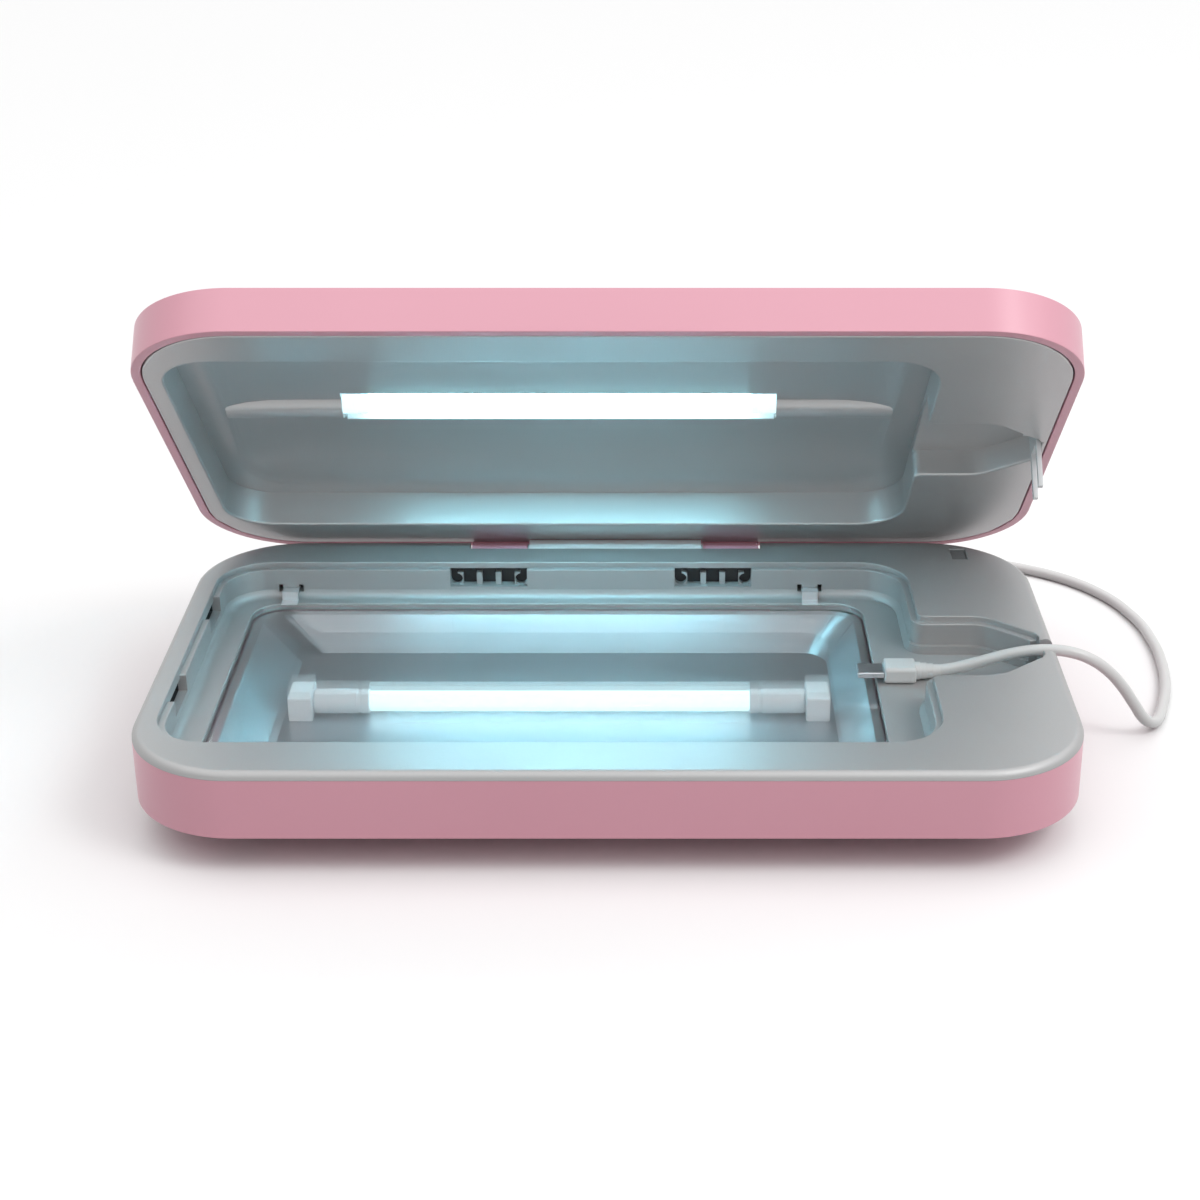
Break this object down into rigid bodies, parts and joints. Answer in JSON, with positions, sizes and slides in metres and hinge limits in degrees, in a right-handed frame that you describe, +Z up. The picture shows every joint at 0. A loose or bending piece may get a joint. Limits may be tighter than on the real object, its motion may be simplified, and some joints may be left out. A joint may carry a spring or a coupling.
{
  "type": "phone sanitizer box",
  "caption": "Hinged clamshell box with tube lamps in base and lid, a quartz plate tray for a phone, and a charging lead laid through a side slot.",
  "frame": {"origin": "centre of the footprint at the plane under the feet", "axes": "+Z up, +X along the long side towards the cable slot, -Y towards the front where the lid opens"},
  "size_m": [0.2588, 0.179, 0.123],
  "materials": {
    "shell_pink": "satin lacquered plastic",
    "silver_paint": "metallic silver-grey paint on plastic",
    "quartz": "clear quartz",
    "lamp_glass": "lit quartz tube",
    "white_ceramic": "white lamp caps",
    "reflector": "bright rolled sheet",
    "steel": "brushed",
    "circuit_board": "green solder mask",
    "transformer": "taped coil",
    "black_plastic": "moulded",
    "grey_plastic": "moulded",
    "foot_rubber": "matt rubber",
    "clear_plastic": "clear moulded",
    "lead_white": "white lead jacket"
  },
  "bodies": {
    "base": {"bottom_shell": "shell_pink", "base_tray": "silver_paint", "quartz_plate": "quartz", "plate_clips": "steel", "lower_lamp_tube": "lamp_glass", "lower_lamp_caps": "white_ceramic", "lower_lamp_sockets": "white_ceramic", "lower_reflector": "reflector", "control_board": "circuit_board", "lamp_inverter": "transformer", "charge_board": "circuit_board", "wide_charge_port": "steel", "small_charge_port": "steel", "power_inlet": "black_plastic", "rubber_feet": "foot_rubber", "base_screws": "steel", "hinge_block": "steel", "hinge_pins": "steel", "hinge_washers": "steel", "hinge_screws": "steel", "lid_sensor_window": "black_plastic", "lid_sensor": "black_plastic", "base_magnets": "steel", "sound_ducts": "grey_plastic", "phone_plug": "lead_white", "phone_plug_tip": "steel", "charge_lead": "lead_white", "lead_coil": "lead_white", "lead_tail": "lead_white", "lead_tie": "grey_plastic", "port_plug": "lead_white", "port_plug_shell": "steel"},
    "lid": {"lid_shell": "shell_pink", "lid_liner": "silver_paint", "upper_lamp_tube": "lamp_glass", "upper_lamp_caps": "white_ceramic", "upper_lamp_sockets": "white_ceramic", "lamp_end_covers": "silver_paint", "upper_reflector": "reflector", "cable_guard": "clear_plastic", "status_lens": "clear_plastic", "status_board": "circuit_board", "lid_magnets": "steel", "sensor_magnet": "steel"}
  },
  "joints": [
    {"name": "lid_hinge", "type": "hinge", "parent": "base", "child": "lid", "pos_m": [0, 0.06335, 0.0222], "axis": [-1, 0, 0], "range_deg": [-44.3, 45.7]}
  ]
}
